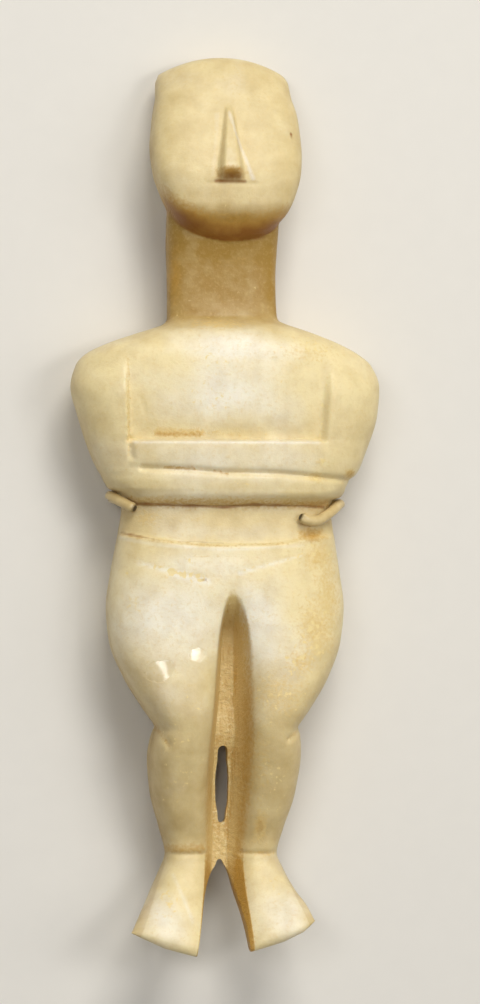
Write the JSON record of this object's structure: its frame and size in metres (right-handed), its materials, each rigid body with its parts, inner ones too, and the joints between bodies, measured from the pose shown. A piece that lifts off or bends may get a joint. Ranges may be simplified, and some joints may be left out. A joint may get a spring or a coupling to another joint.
{
  "type": "folded-arm marble figurine",
  "caption": "Flat folded-arm figurine of pale marble with a blank face, lying on its back, with its sleeved display wire hooked round the waist.",
  "frame": {"origin": "middle of the underside of the whole object's box, on the surface that it lies on", "axes": "+Y from the toes to the crown, +Z out of the figure's front, +X to the figure's own left arm"},
  "size_m": [0.081, 0.234, 0.0322],
  "materials": {
    "marble": "worn polish with ochre staining",
    "wire_sleeve": "satin sleeve"
  },
  "bodies": {
    "root": {"marble_figure": "marble", "support_wire": "wire_sleeve"}
  },
  "joints": []
}
